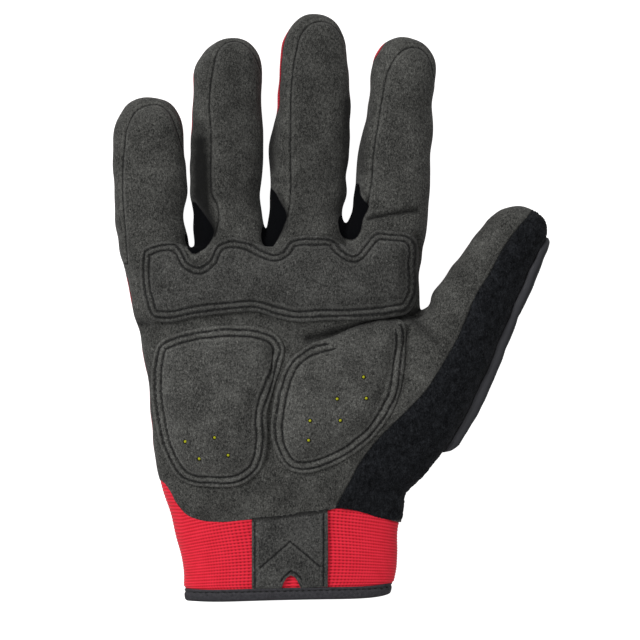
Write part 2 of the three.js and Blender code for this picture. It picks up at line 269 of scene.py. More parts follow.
def movedOutline(outline, distance):
    outline = np.asarray(outline, dtype=float)
    before = np.roll(outline, 1, axis=0)
    after = np.roll(outline, -1, axis=0)
    area = np.sum(before[:, 0] * outline[:, 1] - outline[:, 0] * before[:, 1])
    run = after - before
    run /= np.linalg.norm(run, axis=1)[:, None]
    side = np.column_stack([run[:, 1], -run[:, 0]]) * (1 if area > 0 else -1)
    return outline + side * distance


def ease(low, high, value):
    share = np.clip((value - low) / (high - low), 0, 1)
    return share * share * (3 - 2 * share)


def bell(away, width):
    return np.exp(-((away / width) ** 2))


# Soft waves without a pattern, between about -1 and 1
def waves(points, length, seed, count=9):
    chance = np.random.default_rng(seed)
    total = np.zeros(len(points))
    for _ in range(count):
        heading = chance.normal(size=3)
        heading /= np.linalg.norm(heading)
        pace = 2 * math.pi / (length * chance.uniform(0.7, 1.5))
        total += np.sin(points @ heading * pace + chance.uniform(0, 2 * math.pi))
    return total / math.sqrt(count * 2)


# The hand's form: each row is a section (y, left, right, back, palm)

trunk = {
    "shape": 2.7,
    "rows": [
        (-126, -60.6, 24.4, 2.3, 25.8), (-115, -61.7, 26.6, 2, 27.3), (-108.5, -61.7, 27.9, 2, 27.8),
        (-101.5, -62.6, 28.3, 2.2, 28.3), (-92, -65.2, 28.4, 2.4, 29), (-84, -67, 30, 3, 30),
        (-74, -70.4, 32, 3.8, 31.6), (-56, -73.7, 34, 4.6, 33.4),
        (-34, -75.4, 36, 5, 34), (-14, -78.9, 36.6, 5, 33.4), (2, -82.4, 37, 5, 32.6),
        (14, -85.8, 37.2, 5.2, 31.6), (25, -87.4, 38, 6, 30.4),
    ],
}
fingers = {
    "little": {
        "shape": 2.25, "tip": (-76.2, 88.0), "seamRun": 1.6,
        "rows": [
            (6, -83, -58, 7, 28), (18, -86.4, -58.4, 6, 29), (29, -88.4, -60, 5.6, 28.4),
            (37, -89.8, -61.1, 5.4, 27.6), (50, -90.5, -60.3, 6, 27.4), (72, -90.1, -61.6, 8, 28.2),
        ],
        "seam": [
            (-84.7, 18.6), (-85.6, 32.8), (-86.7, 45.8), (-85.9, 66.7), (-84.2, 76.3), (-80.5, 82.6),
            (-75.5, 84.9), (-71.4, 84.9), (-67.2, 81.8), (-64.5, 76.3), (-62.6, 70), (-61, 62),
        ],
        "border": [(-100, 18.6), (-100, 88)],
        "guard": {"x": -75.6, "start": 14, "end": 74, "width": 17},
    },
    "ring": {
        "shape": 2.25, "tip": (-41.4, 112.9), "seamRun": 5,
        "rows": [
            (6, -60, -28, 7, 29), (26, -56.4, -26.2, 6, 30.4), (34, -57.2, -28.0, 5.5, 29.9),
            (46, -57.8, -29.2, 5.2, 28.6), (68, -58.5, -28.5, 6.2, 28), (80, -57.4, -29, 7.2, 28.4),
            (95.5, -56.7, -29, 8.6, 29),
        ],
        "seam": [
            (-48.2, 30.3), (-47.0, 34.5), (-46.6, 39.8), (-47.4, 43.6), (-49.3, 46.9), (-49.8, 53.1),
            (-49.8, 73.3), (-50.5, 86.4), (-48.7, 100.0), (-47.3, 106.3), (-44.7, 110.0), (-41.6, 111.4),
            (-38, 111.2), (-34.8, 109.4), (-31.6, 105.6), (-29.8, 101.4), (-28.4, 95),
        ],
        "border": [(-59.4, 34), (-59.4, 112)],
        "guard": {"x": -43.2, "start": 26, "end": 97, "width": 18},
    },
    "middle": {
        "shape": 2.25, "tip": (-6.4, 122.2), "seamRun": 5,
        "rows": [
            (6, -28, 6, 7, 29), (24, -27.2, 6.6, 6, 30.6), (33, -26.4, 6.4, 5.5, 30.2),
            (38, -25.7, 5.3, 5.3, 29.8), (42, -25.6, 4.9, 5.1, 29.4), (46, -25.6, 5.7, 5, 29),
            (58, -24.6, 6.4, 5.2, 28.4), (66, -25.6, 7.8, 5.8, 28.4), (77, -23, 8, 7, 28.6),
            (90, -21.6, 7.7, 8, 29), (103, -20.9, 7, 9.4, 29.6),
        ],
        "seam": [
            (-18.1, 37.9), (-17.1, 44.4), (-16.9, 66), (-14.4, 106.8), (-12.4, 113.8), (-9, 118),
            (-4.1, 119.6), (0.7, 118.2), (4.4, 113.8), (6.2, 108.4), (7.6, 101),
        ],
        "border": [(-27.3, 37.9), (-27.3, 122)],
        "guard": {"x": -8.6, "start": 30, "end": 105, "width": 19},
    },
    "index": {
        "shape": 2.25, "tip": (30.6, 112.7), "seamRun": 6,
        "rows": [
            (6, 4, 35.6, 7, 29), (24, 5.4, 38, 6, 30.2), (33, 6.0, 39.6, 5.6, 29.7),
            (38, 7.8, 40.2, 5.4, 29.4), (42, 9.4, 40.5, 5.3, 29), (46, 10.4, 40.8, 5.2, 28.6),
            (68, 12.2, 42, 6.2, 28.2), (82, 15.6, 42.4, 7.2, 28.4), (98.5, 17.2, 44, 8.6, 29),
        ],
        "seam": [
            (14.8, 41.5), (16.9, 53.5), (17.6, 63.8), (20.0, 79.6), (21.6, 89.5), (23.7, 98.6),
            (25.8, 102.8), (28.9, 106.6), (32.7, 108.6), (37.1, 108.3), (39.8, 106.2), (41.7, 102.9),
            (42.9, 97), (43.8, 90),
        ],
        "border": [(8.4, 41.5), (9.8, 66), (12, 90)],
        "guard": {"x": 28.6, "start": 26, "end": 97, "width": 18},
    },
}
thumb = {
    "shape": 2.2, "tip": (5.2, 0.5), "place": (80.8, 42.8), "lean": -30,
    "rows": [
        (-134, -34, 15.5, 11, 23), (-126, -34, 18.2, 7, 28), (-117, -34, 20.6, 5.8, 30.6),
        (-92, -27, 23, 5.4, 32.4), (-78, -21, 22, 5.1, 32), (-62, -16.0, 20.3, 4.8, 31),
        (-58.5, -14.6, 19.9, 4.8, 30.7), (-55.4, -13.1, 19.4, 4.9, 30.3), (-51.2, -14.7, 19.2, 5, 29.8),
        (-43.5, -13.9, 18.6, 5.3, 29.2), (-28, -12.4, 17.2, 5.8, 27.8), (-14.5, -10.6, 15.2, 6.6, 26.8),
    ],
    "guard": {"x": 15, "start": -106, "end": -6.6, "width": 22, "corner": 4.5, "round": 7},
    # the guard's thickness along the thumb, with a step near its middle
    "guardThick": [
        (-106, 1.0), (-100, 3.3), (-90, 3.8), (-79, 4.1), (-68, 3.6), (-54, 3.5), (-42, 2.8), (-40, 3.2),
        (-35, 3.2), (-28, 3.0), (-21, 2.7), (-14, 2.1), (-9, 1.8), (-6, 2.1),
    ],
}
form = {
    "sides": 72, "rings": 90, "domeShare": 0.35, "domeShape": 2.2,
    "voxel": 0.9, "smoothing": 8, "middle": 18,
}


def rounded(value, shape):
    return np.sign(value) * np.abs(value) ** (2 / shape)


def sectionAt(table, y, grow=0.0):
    left, right, back, palm = smoothColumns(table["rows"], y).T
    return (left + right) / 2, (back + palm) / 2, (right - left) / 2 + grow, (palm - back) / 2 + grow


# Where a tube's point lies, for shares u round it and v along it. A table with a tip ends in a dome.
def tubePoints(table, u, v, grow=0.0):
    first, last = table["rows"][0][0], table["rows"][-1][0]
    split = 1 - form["domeShare"] if "tip" in table else 1
    y = first + (last - first) * np.clip(v / split, 0, 1)
    x, z, halfX, halfZ = sectionAt(table, y, grow)
    if "tip" in table:
        share = np.sin(np.clip((v - split) / (1 - split), 0, 1) * math.pi / 2)
        width = np.clip(1 - share ** form["domeShape"], 0, 1) ** (1 / form["domeShape"])
        y = y + share * (table["tip"][1] + grow - last)
        x = x + (table["tip"][0] - x) * share**1.6
        halfX, halfZ = halfX * width, halfZ * width
    turn = 2 * math.pi * u
    x = x + halfX * rounded(np.cos(turn), table["shape"])
    z = z + halfZ * rounded(np.sin(turn), table["shape"])
    if "lean" in table:
        lean = math.radians(table["lean"])
        x, y = (
            table["place"][0] + x * math.cos(lean) - y * math.sin(lean),
            table["place"][1] + x * math.sin(lean) + y * math.cos(lean),
        )
    return np.column_stack([x, y, z])


# A grid whose points are placed by a function of their shares across and along
def gridPiece(name, across, along, place):
    pick()
    bpy.ops.mesh.primitive_grid_add(x_subdivisions=across, y_subdivisions=along, size=1)
    piece = named(name)
    flat = pointsOf(piece) * mm
    movePoints(piece, place(flat[:, 0] + 0.5, flat[:, 1] + 0.5))
    return piece


def tube(name, table):
    return closeUp(gridPiece(name, form["sides"], form["rings"], lambda u, v: tubePoints(table, u, v)))


# Folds pressed into the palm side, and lines of painted shade: each one's line, depth, half width and how
# dark the painted shade along it is. The painted shade lies in the folds, between the fingers, down the
# fingers' sides and across the ring and middle fingers.
folds = [
    ([(37, -0.6), (28, -4.2), (19.4, -5.2), (8.4, -8), (-2.8, -11.4), (-9, -12.6)], 3.0, 1.8, 0.8),
    ([(37, -0.6), (31, -3.2), (24, -4.8)], 0.8, 2.2, 0.9),
    ([(-80, -9), (-66, -7.6), (-50, -4.6), (-33, -3.4), (-18, -8), (-8, -10)], 1.6, 3.2, 0.15),
    ([(15.2, 37.2), (27, 39.4), (36, 40.6)], 1.9, 1.0, 0.75),
    ([(12.6, 56.4), (15.5, 57.4), (18.6, 57.4)], 0.9, 0.8, 0.5),
    ([(11.4, 50), (14.4, 47.6), (15.2, 43.6)], 0.8, 0.8, 0.5),
    ([(-83, -4.6), (-79, -6.6), (-76, -7)], 1.3, 1.2, 0.7),
    ([(-24.6, -16), (-23.8, -27), (-25, -42), (-25.8, -62)], 1.6, 2.0, 0.08),
    ([(36.6, 30), (38, 12), (35.6, -2)], 1.8, 1.6, 0.5),
    ([(35.6, 27), (36.4, 14), (34.6, 1)], 0.5, 3.0, 0.45),
    ([(44, -14), (38, -8), (33.4, -3.4)], 1.6, 1.6, 0.5),
    ([(31, -10), (30.6, -24), (27, -38)], 1.0, 1.8, 0.3),
    ([(-22.6, 66), (-18.6, 63)], 0.7, 1.2, 0.3),
    ([(-24, 54), (-19, 52.4)], 0.6, 1.2, 0.3),
    ([(-72, 40), (-64, 39)], 0.35, 1.6, 0.15),
    ([(-50, 44), (-38, 45)], 0.35, 1.8, 0.15),
    ([(-54, 63), (-53.8, 54), (-52.6, 40), (-50.6, 33)], 1.0, 4.8, 1.3),
    ([(-54.2, 69.5), (-54, 62)], 0, 4.8, 1.05),
    ([(-54.4, 75), (-54.2, 68)], 0, 5.2, 0.6),
    ([(-24.4, 80), (-25, 59)], 0.8, 2.8, 0.9),
    ([(7.0, 86), (6.2, 60), (4.6, 40)], 0.6, 2.4, 0.65),
    ([(-21.4, 47), (-18.6, 38), (-20.6, 31)], 0, 2.0, 0.7),
    ([(14.6, 80), (12.8, 60)], 0, 2.5, 0.4),
    ([(-40, 98), (-40, 48)], 0, 13, 0.24),
    ([(-6, 106), (-8, 46)], 0, 13, 0.2),
]


# Half width of the painted shade along a fold, as a share of the fold's own
paintedShadeShare = 0.85  # of a fold's half width


# Painted shade along the folds and lines above, at a few points of the palm side
def foldShade(points):
    shade = np.zeros(len(points))
    for line, _, width, dark in folds:
        away = lineDistance(points, smoothCurve(line, 2))
        shade = np.maximum(shade, dark * bell(away, width * paintedShadeShare))
    return np.minimum(shade, 1)


def makeForm():
    parts = [tube("hand", trunk)]
    parts += [tube(name, finger) for name, finger in fingers.items()]
    parts.append(tube("thumb", thumb))
    pick(*parts)
    bpy.ops.object.join()
    piece = named("form")
    finished(piece, "REMESH", mode="VOXEL", voxel_size=form["voxel"] * mm)
    finished(piece, "SMOOTH", factor=0.5, iterations=form["smoothing"])
    points = pointsOf(piece)
    push = 0.5 * waves(points, 24, 3) + 0.2 * waves(points, 9, 4)
    up = ease(0.1, 0.6, normalsOf(piece)[:, 2])
    for line, depth, width, _ in folds:
        push -= up * depth * bell(lineDistance(points, smoothCurve(line, 2)), width)
    pushOut(piece, push)
    return piece


theForm = makeForm()
report(f"form, {len(theForm.data.polygons)} faces")

# Seams

cuffSeam = [
    (-95, -58), (-73, -69.5), (-70.5, -71.8), (-64.7, -80.1), (-59.5, -85.9), (-53.1, -88.1), (-47.9, -88.6),
    (-32.9, -87.4), (-1.6, -83.7), (3.5, -82.7), (11.2, -84), (20.2, -86.8), (27.9, -88.9), (60, -98),
    (100, -101),
]
terrySeam = [
    (90, 52), (84.1, 40.9), (79.1, 34.9), (71.7, 25), (66.3, 15), (60.1, 5.1), (56, -4.8), (51.4, -14.7),
    (45.6, -24.6), (39, -34.6), (29.5, -44.5), (19.6, -54.4), (12.1, -64.3), (6.8, -74.3), (3.9, -79.2),
    (-1, -88),
]
webs = {
    "one": [
        (-59, 40), (-57.6, 44.6), (-54.6, 41.4), (-51.4, 37.2), (-48.6, 31.8), (-50.6, 27.2), (-53.4, 24.4),
        (-57, 22.6), (-59, 25),
    ],
    "two": [
        (-27.8, 44), (-26.4, 52.4), (-24.2, 49.4), (-21.4, 44.6), (-18.4, 38.2), (-19.8, 34), (-22.4, 28.8),
        (-25.2, 25.6), (-27.6, 26.8), (-28.4, 30), (-28, 36),
    ],
    "three": [
        (3.7, 37.8), (3.9, 34.1), (4.7, 31), (6.8, 28.9), (9.3, 28.8), (11.5, 30.8), (12.6, 34.1),
        (13.2, 37.4),
        (14.8, 40.5), (15.6, 43), (13.8, 44.7), (12.2, 46.9), (11.1, 52.3), (9.4, 51), (7.6, 44), (5.6, 40),
    ],
}
# Height of the seam between the palm side and the back, and where it is pulled up so that the back shows
backSeam = {
    "rows": [(-130, 15), (-60, 16.2), (0, 16), (40, 14.2), (80, 14.4), (130, 17)],
    "raised": [
        {"x": (-59.5, -50), "y": (70, 100), "by": 5.2},
        {"x": (-25.5, -12), "y": (80, 116), "by": 6.6},
        {"x": (12, 26), "y": (102, 110), "by": 6.2},
        {"x": (-95, -74), "y": (-1, 15), "by": 5.4},
        {"x": (-95, -60), "y": (-60, -14), "by": 5.2},
    ],
}


def backSeamHeight(x, y):
    rows = np.array(backSeam["rows"], dtype=float)
    height = np.interp(y, rows[:, 0], rows[:, 1])
    for patch in backSeam["raised"]:
        (left, right), (low, high) = patch["x"], patch["y"]
        inside = ease(left - 1, left, x) * (1 - ease(right, right + 2, x))
        inside = inside * ease(low - 7, low + 5, y) * (1 - ease(high - 5, high + 7, y))
        height = height + patch["by"] * inside
    return height


cutMark = bpy.data.materials.new("cut")
clothMark = bpy.data.materials.new("cloth")


def giveMarks(piece):
    piece.data.materials.append(clothMark)
    piece.data.materials.append(cutMark)


# A cutter's faces carry the second material, so that what it leaves can be told from the cloth
def markCutter(piece):
    giveMarks(piece)
    numberFaces(piece, 1)
    return piece


def outlineCutter(outline, low=-60, high=60):
    pick()
    bpy.ops.mesh.primitive_circle_add(vertices=len(outline), radius=1, fill_type="NGON")
    piece = named("outlineCutter")
    x, y, _ = pointsOf(piece).T
    placed = np.empty((len(outline), 3))
    order = np.argsort(np.mod(np.arctan2(y, x), 2 * math.pi))
    placed[order] = np.column_stack([outline, np.full(len(outline), low)])
    movePoints(piece, placed)
    return markCutter(drawnOut(piece, high - low))


# Everything on one side of a seam
def sideCutter(seam, away):
    line = smoothCurve(seam, 1.5)
    far = np.array(away) * 260
    return outlineCutter(np.vstack([line, line[-1] + far, line[0] + far]))


def belowBackSeam():
    def place(u, v):
        x = -110 + 220 * u
        y = -135 + 275 * v
        return np.column_stack([x, y, backSeamHeight(x, y)])

    return markCutter(drawnOut(gridPiece("belowBackSeam", 160, 200, place), -80))


def bandOutline(finger):
    line = smoothCurve(finger["seam"], 1.2)
    far = finger["tip"][1] + 6
    out = line[-1][0] + finger["seamRun"]
    border = finger["border"][::-1]
    top = [(out, far), (border[0][0], far)]
    if finger["seamRun"]:
        top.insert(0, (out, line[-1][1]))
    return np.vstack([line, top, border])


def boundaryPoints(piece):
    edges = edgeEnds(piece)
    uses = np.bincount(readOut(piece.data.loops, "edge_index", 1, np.int32)[:, 0], minlength=len(edges))
    points = pointsOf(piece)
    start, end = points[edges[uses == 1]].transpose(1, 0, 2)
    return np.vstack([start, (start + end) / 2])


def nearestDistance(points, marks):
    tree = KDTree(len(marks))
    for number, mark in enumerate(marks):
        tree.insert(mark, number)
    tree.balance()
    return np.array([tree.find(point)[2] for point in points])


def storeValue(piece, name, values):
    layer = piece.data.attributes.new(name, "FLOAT", "POINT")
    layer.data.foreach_set("value", np.asarray(values, dtype=np.float32))


# Cloth panels: each is pulled in along its seams, then given its thickness inwards
panelCloth = {
    "wall": 1.5, "pinch": 0.75, "pinchWidth": 1.3, "puff": 0.3, "puffPlace": 3, "puffWidth": 5,
    "cuffNear": 1.2,
}


def clothPanel(piece):
    dropFaces(piece, cutFaces(piece))
    dropCrumbs(piece)
    mergeSlivers(piece)
    points = pointsOf(piece)
    rim = boundaryPoints(piece)
    onCuff = lineDistance(rim, smoothCurve(cuffSeam, 3)) < panelCloth["cuffNear"]
    away = nearestDistance(points, rim[~onCuff])
    facing = ease(0.1, 0.55, np.abs(normalsOf(piece)[:, 2]))
    push = -panelCloth["pinch"] * facing * bell(away, panelCloth["pinchWidth"])
    push += panelCloth["puff"] * bell(away - panelCloth["puffPlace"], panelCloth["puffWidth"])
    pushOut(piece, push)
    storeValue(piece, "seam", away)
    # Painted shade in the folds and between the fingers, kept for the finish
    storeValue(piece, "shade", foldShade(points))


def thicken(piece, wall):
    finished(piece, "SOLIDIFY", thickness=wall * mm, offset=-1)
    shadedSmooth(piece, 60)


# What lies inside a cutter, taken out of a piece
def takenOut(piece, name, cutter):
    part = cut(copyOf(piece, name), cutter, "INTERSECT")
    cut(piece, cutter, "DIFFERENCE")
    return part


# The same for parts that each have an outline
def takenOutlines(kind, outlines):
    parts = {}
    for name, outline in outlines.items():
        cutter = outlineCutter(outline)
        parts[name] = takenOut(palm, f"{kind}_{name}", cutter)
        remove(cutter)
    return parts


armCutter = sideCutter(cuffSeam, (0, -1))
thumbCutter = sideCutter(terrySeam, (1, 0))
backCutter = belowBackSeam()
giveMarks(theForm)
palm = cut(copyOf(theForm, "hand"), armCutter, "DIFFERENCE")
terry = takenOut(palm, "thumbTerry", thumbCutter)
back = takenOut(palm, "backKnit", backCutter)
palm.name = "palmSuede"
gussets = takenOutlines("gusset", {name: smoothCurve(web, 1.5, closed=True) for name, web in webs.items()})
bands = takenOutlines("band", {name: bandOutline(finger) for name, finger in fingers.items()})
panels = [palm, back, terry, *gussets.values(), *bands.values()]
for piece in panels:
    clothPanel(piece)
# Loops of the terry, as tufts
loops = {"seed": 17, "height": 0.16, "most": 1.6}
chance = np.random.default_rng(loops["seed"])
tufts = chance.normal(size=len(terry.data.vertices)).clip(-loops["most"], loops["most"])
pushOut(terry, loops["height"] * tufts)
report("panels cut")

# Padded patches over the palm: a base cut from the form, raised outwards by a profile across its edge.
# outer and inner are the two stitch lines' distances from the edge, crown the height over them.
pads = {
    "knuckle": {
        "node": "knuckle_pad", "fill": 0.5, "outer": 1.7, "inner": 4.0, "crown": 1.9, "slope": 5,
        "outline": [
            (-78.2, 24.5), (-74.9, 26.5), (-63.7, 27.1), (-61.3, 25.3), (-57.2, 19.3), (-54.3, 18.3),
            (-51.4, 20.2), (-48.5, 25.7), (-46, 28), (-42.3, 29.3), (-35.7, 28.5), (-27.1, 24.8),
            (-23.4, 23.6), (-20.9, 24.5), (-16.4, 29.2), (-12.6, 30.2), (-6, 30.2), (1, 29.4),
            (4.7, 25.9), (9.6, 23.2), (13.7, 27.6), (16.2, 30.4), (19.1, 32.4), (23.6, 32.2),
            (34.0, 29.8), (35.6, 27.3), (35.8, 19.1),
            (34.5, 2.6), (31.9, -1.3), (26.5, -2.7), (-5, -5), (-15.1, -5.2), (-22.5, -3.6), (-30, -1.3),
            (-43.6, -1.8), (-56.3, -3.4), (-68.7, -5.4), (-74.5, -4), (-76.9, 1.4), (-79, 19.1),
        ],
        "holes": [],
    },
    "heel": {
        "node": "hypothenar_pad", "fill": 0.7, "outer": 1.7, "inner": 4.2, "crown": 3.0, "slope": 8,
        "outline": [
            (-71.3, -14.4), (-64.6, -10.9), (-56.3, -8.7), (-40.7, -7.2), (-28.3, -8.5), (-22.5, -11),
            (-19.4, -15.1), (-20.3, -22.9), (-23.2, -32.4), (-26.4, -41.9), (-26.7, -57.1), (-29.5, -67),
            (-37, -72.7), (-48.5, -73.9), (-61.7, -71.2), (-68.5, -61.3), (-72.8, -45.2), (-74.1, -32),
            (-73.4, -20.9),
        ],
        "holes": [(-60.1, -55.0), (-47.9, -53.3), (-54.3, -62.1), (-42.3, -60.6)],
    },
    "thumbRoot": {
        "node": "thenar_pad", "fill": 0.7, "outer": 1.7, "inner": 4.4, "crown": 3.0, "slope": 8,
        "plain": [(5, -10.6), (9, -8.8), (16, -6), (22, -4.8)],
        "outline": [
            (-23.6, -41.5), (-24.4, -51), (-21.9, -60.9), (-16.8, -67), (-10.8, -68.1), (-0.9, -65.6),
            (11.9, -58.4), (21.8, -48.5), (28.9, -34.1), (30.4, -22.8), (31.2, -11.8), (30.2, -6.2),
            (25.1, -4.4), (16.6, -5.6), (0.8, -12.3), (-11.8, -16.7), (-18, -22.7), (-22, -33.2),
        ],
        "holes": [(13.6, -28.3), (2.7, -37.3), (14.7, -37.1), (-8.5, -46.3), (4.0, -46.2), (-9.1, -54.4)],
    },
}
padCloth = {
    "edge": 0.75, "flange": 1.1, "channel": 0.55, "channelWidth": 0.5, "most": 5.0, "clear": 0.12,
    "plain": (2.6, 8.2),
}


# Where an edge is folded over and shows no stitches
def plainShare(pad, points):
    if "plain" not in pad:
        return np.zeros(len(points))
    return 1 - ease(*padCloth["plain"], lineDistance(points, smoothCurve(pad["plain"], 1)))


def padHeight(pad, away, plain):
    height = padCloth["edge"] + (padCloth["flange"] - padCloth["edge"]) * ease(0, 0.8, away)
    height = height + pad["crown"] * ease(pad["inner"] - 0.4, pad["inner"] + pad["slope"], away) ** 0.8
    for line in ("outer", "inner"):
        groove = bell(away - pad[line], padCloth["channelWidth"])
        height = height - padCloth["channel"] * groove * (1 - plain)
    return height


def raised(piece, heights, most):
    group = piece.vertex_groups.new(name="height")
    for number, height in enumerate(heights):
        group.add([number], float(np.clip(height / most, 0.01, 1)), "REPLACE")
    finished(piece, "SOLIDIFY", thickness=most * mm, offset=1, vertex_group="height", use_rim=True)
    piece.vertex_groups.clear()


def formRegion(name, outline, top=True, finer=1):
    cutter = outlineCutter(outline)
    piece = cut(copyOf(theForm, name), cutter, "INTERSECT")
    remove(cutter)
    height = faceCentres(piece)[:, 2] - form["middle"]
    dropFaces(piece, cutFaces(piece) | (height < 0 if top else height > 0))
    dropCrumbs(piece)
    if finer:
        inEdit(piece, (bpy.ops.mesh.subdivide, {"number_cuts": finer, "smoothness": 0}))
        finished(piece, "SMOOTH", factor=0.5, iterations=2)
    return piece


padPieces = {}
for name, pad in pads.items():
    outline = smoothCurve(pad["outline"], 1, closed=True)
    piece = formRegion(f"pad_{name}", outline)
    points = pointsOf(piece)
    away = lineDistance(points, outline, closed=True)
    away = away + 0.14 * waves(points, 5, 21) * ease(0, 1, away)
    pushOut(piece, padCloth["clear"])
    plain = plainShare(pad, points)
    nearest = np.minimum(np.abs(away - pad["outer"]), np.abs(away - pad["inner"]))
    storeValue(piece, "seam", nearest + 3 * plain)
    # Painted shade from the folds, and a thin painted shadow along the pad's edge where it lies on the palm
    storeValue(piece, "shade", np.maximum(foldShade(points), 0.3 * (1 - ease(0.0, 0.5, away))))
    heights = padHeight(pad, away, plain) + 0.12 * waves(points, 7, 8) * ease(0, 2, away)
    raised(piece, heights, padCloth["most"])
    shadedSmooth(piece, 60)
    padPieces[name] = piece
report("pads raised")

for piece in panels:
    thicken(piece, panelCloth["wall"])
report("panels thickened")

# Cuff of ribbed knit, its tape and the pull tab. The hem lies a little askew. around is the length of the
# cuff's way round, corner how far the hem lifts at its corner on the thumb's side.
cuff = {
    "end": -120.1, "slant": 0.0225, "start": -66, "grow": -0.35, "tuck": 3.5, "tuckDepth": 1.7,
    "sides": 220, "step": 0.33, "rib": 1.39, "ribDepth": 0.09, "column": 1.36, "wall": 1.2, "around": 215,
    "hemPinch": 1.3, "arch": 0.0026, "archMiddle": -15, "corner": 0.8, "cornerShape": 10,
}


def hemCorner(turn):
    return cuff["corner"] * np.clip(np.cos(turn), 0, 1) ** cuff["cornerShape"]


def cuffPoints(u, v, grow=0.0):
    y = cuff["end"] + (cuff["start"] - cuff["end"]) * v
    x, z, halfX, halfZ = sectionAt(trunk, y - 4 * ease(0.0, 0.65, v), grow)
    turn = 2 * math.pi * u
    across = rounded(np.cos(turn), trunk["shape"])
    x = x + (halfX - cuff["hemPinch"] * (1 - ease(0.07, 0.13, v))) * across
    z = z + halfZ * rounded(np.sin(turn), trunk["shape"])
    rise = 0.15 * ease(0.05, 0.15, v) + 0.85 * ease(0.0, 0.6, v)
    bow = cuff["arch"] * np.minimum((x - cuff["archMiddle"]) ** 2, 2200) * rise
    y = y + cuff["slant"] * x * (1 - v) - bow + hemCorner(turn) * (1 - ease(0, 0.1, v))
    return np.column_stack([x, y, z])


def makeCuff():
    length = cuff["start"] - cuff["end"]
    seamX, seamY = np.array(smoothCurve(cuffSeam, 2)).T

    def place(u, v):
        along = v * length
        relief = cuff["ribDepth"] * np.cos(2 * math.pi * along / cuff["rib"])
        points = cuffPoints(u, v)
        over = points[:, 1] - np.interp(points[:, 0], seamX, seamY)
        sink = cuff["tuckDepth"] * ease(-0.5, 1.2, over)
        return cuffPoints(u, v, cuff["grow"] + relief - sink)

    piece = gridPiece("cuffKnit", cuff["sides"], round(length / cuff["step"]), place)
    cloth = piece.data.uv_layers[0].data
    shares = readOut(cloth, "uv", 2)
    cloth.foreach_set("uv", (shares * [cuff["around"] * mm, length * mm]).ravel())
    return welded(piece, weldDistance, facesOut)


def pointsOutwards(piece, middle):
    outward = faceCentres(piece) - np.array(middle)
    outward[:, 1] = 0
    if np.mean(np.sum(outward * faceNormals(piece), axis=1)) < 0:
        inEdit(piece, (bpy.ops.mesh.flip_normals, {}))


cuffKnit = makeCuff()
pointsOutwards(cuffKnit, (-17, 0, 15))
thicken(cuffKnit, cuff["wall"])
tuckCutter = sideCutter([(x, y + cuff["tuck"]) for x, y in cuffSeam], (0, 1))
cut(cuffKnit, tuckCutter, "DIFFERENCE")
remove(tuckCutter)
shadedSmooth(cuffKnit, 60)
report("cuff")

tape = {
    # the tape's section: (out from the cuff, along from its end)
    "section": [
        (-0.2, 4.3), (0.4, 4.4), (0.7, 4.1), (0.75, 3.6), (0.35, 3.15), (0.75, 2.7), (0.95, 2.1),
        (1.0, 1.2),
        (0.95, 0.4), (0.7, -0.3), (0.1, -0.7), (-0.8, -0.75), (-1.8, -0.6), (-2.3, -0.1), (-2.4, 1.0),
        (-2.35, 2.6), (-2.2, 3.6), (-1.9, 3.8), (-1.75, 3.2), (-1.7, 0.7), (-1.0, 0.2), (-0.3, 0.3),
        (0.0, 0.9), (0.05, 2.8),
    ],
    "sides": 240,
}


def makeTape():
    section = smoothCurve(tape["section"], 0.4, closed=True)
    count = len(section)

    def place(u, v):
        at = np.round(v * count).astype(int) % count
        out, along = section[at, 0], section[at, 1]
        x, z, halfX, halfZ = sectionAt(trunk, cuff["end"] + np.clip(along, -2, 6), 0)
        turn = 2 * math.pi * u
        x = x + (halfX + out - cuff["hemPinch"]) * rounded(np.cos(turn), trunk["shape"])
        z = z + (halfZ + out) * rounded(np.sin(turn), trunk["shape"])
        y = cuff["end"] + along + cuff["slant"] * x + 0.12 * np.sin(turn * 5) + hemCorner(turn)
        return np.column_stack([x, y, z])

    return closeUp(gridPiece("hemTape", tape["sides"], count, place))


hemTape = makeTape()
shadedSmooth(hemTape)
report("tape")

tab = {
    "outline": [
        (-32.6, -86.9), (-16, -84.9), (-1.2, -83.0), (-1.1, -100), (-1.2, -115.4), (-6, -115.6),
        (-12.5, -115.9), (-13.7, -113.1), (-14.9, -111.4),
        (-16.5, -110.7), (-18.0, -111.4), (-19.3, -113.3), (-20.3, -116.0),
        (-27, -116.2), (-32.6, -116.2), (-32.6, -104),
    ],
    # stitched lines: two edges, the chevron and round the notch
    "lines": [
        [(-31.4, -116), (-31.4, -88.5)], [(-3.0, -115), (-2.9, -85.2)],
        [(-29.2, -107.5), (-16.8, -96.5), (-4.4, -107)],
        [(-20.9, -113.4), (-19.3, -111.2), (-16.4, -108.8), (-13.9, -110.2), (-12.2, -112.1)],
    ],
    "thick": 1.2, "channel": 0.42, "channelWidth": 0.5,
}


def trunkTop(x, y, grow):
    middle, height, halfX, halfZ = sectionAt(trunk, y, grow)
    across = np.clip(np.abs((x - middle) / halfX), 0, 1)
    return height + halfZ * (1 - across ** trunk["shape"]) ** (1 / trunk["shape"])


